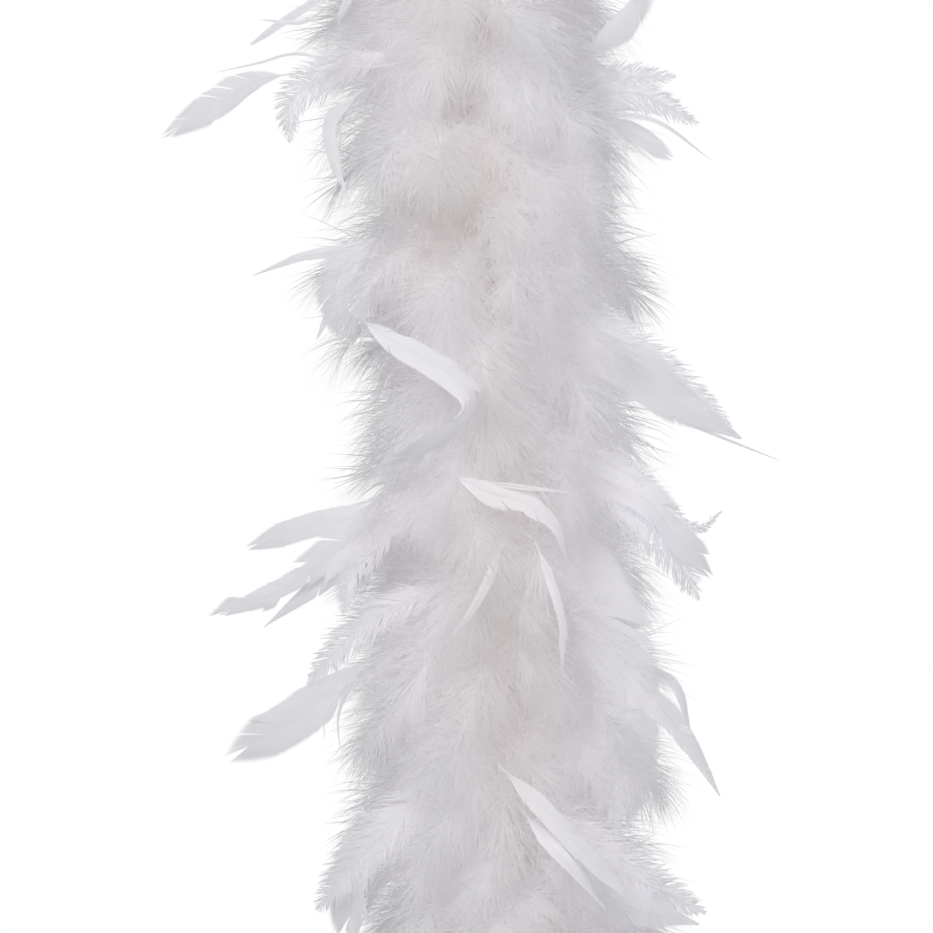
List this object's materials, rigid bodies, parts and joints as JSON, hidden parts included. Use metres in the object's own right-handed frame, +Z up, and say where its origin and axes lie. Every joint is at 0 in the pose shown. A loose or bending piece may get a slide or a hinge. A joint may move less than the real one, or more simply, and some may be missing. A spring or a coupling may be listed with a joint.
{
  "type": "feather boa",
  "caption": "White feather boa: marabou down plumes and flat feathers bound along a core cord that bends, hung straight from a cord loop.",
  "frame": {"origin": "the point of the hang loop that rests on a hook", "axes": "+Z up along the hanging boa, +X in the plane of the hang loop, +Y through the loop"},
  "size_m": [0.242, 0.242, 1.913],
  "materials": {
    "core_cord": "two-ply twisted cotton cord, matt, slightly hairy",
    "binding_thread": "thin waxed thread wound over the quills, slight sheen",
    "down": "fine soft marabou barbs, matt white with light passing through, a little warmer at the root",
    "flat_feather": "smooth white vane with a faint satin sheen along the barbs"
  },
  "bodies": {
    "hanger": {"hang_loop": "core_cord", "top_knot": "core_cord"},
    "segment_01": {"core_cord_01": "core_cord", "quill_binding_01": "binding_thread", "down_plumes_upper_01": "down", "down_plumes_lower_01": "down", "flat_feathers_01": "flat_feather", "top_whipping": "binding_thread"},
    "segment_02": {"core_cord_02": "core_cord", "quill_binding_02": "binding_thread", "down_plumes_upper_02": "down", "down_plumes_lower_02": "down", "flat_feathers_02": "flat_feather"},
    "segment_03": {"core_cord_03": "core_cord", "quill_binding_03": "binding_thread", "down_plumes_upper_03": "down", "down_plumes_lower_03": "down", "flat_feathers_03": "flat_feather"},
    "segment_04": {"core_cord_04": "core_cord", "quill_binding_04": "binding_thread", "down_plumes_upper_04": "down", "down_plumes_lower_04": "down", "flat_feathers_04": "flat_feather"},
    "segment_05": {"core_cord_05": "core_cord", "quill_binding_05": "binding_thread", "down_plumes_upper_05": "down", "down_plumes_lower_05": "down", "flat_feathers_05": "flat_feather"},
    "segment_06": {"core_cord_06": "core_cord", "quill_binding_06": "binding_thread", "down_plumes_upper_06": "down", "down_plumes_lower_06": "down", "flat_feathers_06": "flat_feather"},
    "segment_07": {"core_cord_07": "core_cord", "quill_binding_07": "binding_thread", "down_plumes_upper_07": "down", "down_plumes_lower_07": "down", "flat_feathers_07": "flat_feather"},
    "segment_08": {"core_cord_08": "core_cord", "quill_binding_08": "binding_thread", "down_plumes_upper_08": "down", "down_plumes_lower_08": "down", "flat_feathers_08": "flat_feather"},
    "segment_09": {"core_cord_09": "core_cord", "quill_binding_09": "binding_thread", "down_plumes_upper_09": "down", "down_plumes_lower_09": "down", "flat_feathers_09": "flat_feather"},
    "segment_10": {"core_cord_10": "core_cord", "quill_binding_10": "binding_thread", "down_plumes_upper_10": "down", "down_plumes_lower_10": "down", "flat_feathers_10": "flat_feather", "bottom_whipping": "binding_thread"},
    "bottom_end": {"bottom_knot": "core_cord", "trimmed_ply_left": "core_cord", "trimmed_ply_right": "core_cord"}
  },
  "joints": [
    {"name": "top_swing", "type": "hinge", "parent": "hanger", "child": "segment_01", "pos_m": [0, 0, -0.057], "axis": [1, 0, 0], "range_deg": [-40, 40]},
    {"name": "bend_01", "type": "hinge", "parent": "segment_01", "child": "segment_02", "pos_m": [0, 0, -0.25], "axis": [0, 1, 0], "range_deg": [-40, 40]},
    {"name": "bend_02", "type": "hinge", "parent": "segment_02", "child": "segment_03", "pos_m": [0, 0, -0.43], "axis": [1, 0, 0], "range_deg": [-40, 40]},
    {"name": "bend_03", "type": "hinge", "parent": "segment_03", "child": "segment_04", "pos_m": [0, 0, -0.61], "axis": [0, 1, 0], "range_deg": [-40, 40]},
    {"name": "bend_04", "type": "hinge", "parent": "segment_04", "child": "segment_05", "pos_m": [0, 0, -0.79], "axis": [1, 0, 0], "range_deg": [-40, 40]},
    {"name": "bend_05", "type": "hinge", "parent": "segment_05", "child": "segment_06", "pos_m": [0, 0, -0.97], "axis": [0, 1, 0], "range_deg": [-40, 40]},
    {"name": "bend_06", "type": "hinge", "parent": "segment_06", "child": "segment_07", "pos_m": [0, 0, -1.15], "axis": [1, 0, 0], "range_deg": [-40, 40]},
    {"name": "bend_07", "type": "hinge", "parent": "segment_07", "child": "segment_08", "pos_m": [0, 0, -1.33], "axis": [0, 1, 0], "range_deg": [-40, 40]},
    {"name": "bend_08", "type": "hinge", "parent": "segment_08", "child": "segment_09", "pos_m": [0, 0, -1.51], "axis": [1, 0, 0], "range_deg": [-40, 40]},
    {"name": "bend_09", "type": "hinge", "parent": "segment_09", "child": "segment_10", "pos_m": [0, 0, -1.69], "axis": [0, 1, 0], "range_deg": [-40, 40]},
    {"name": "tail_swing", "type": "hinge", "parent": "segment_10", "child": "bottom_end", "pos_m": [0, 0, -1.883], "axis": [0, 1, 0], "range_deg": [-40, 40]}
  ]
}
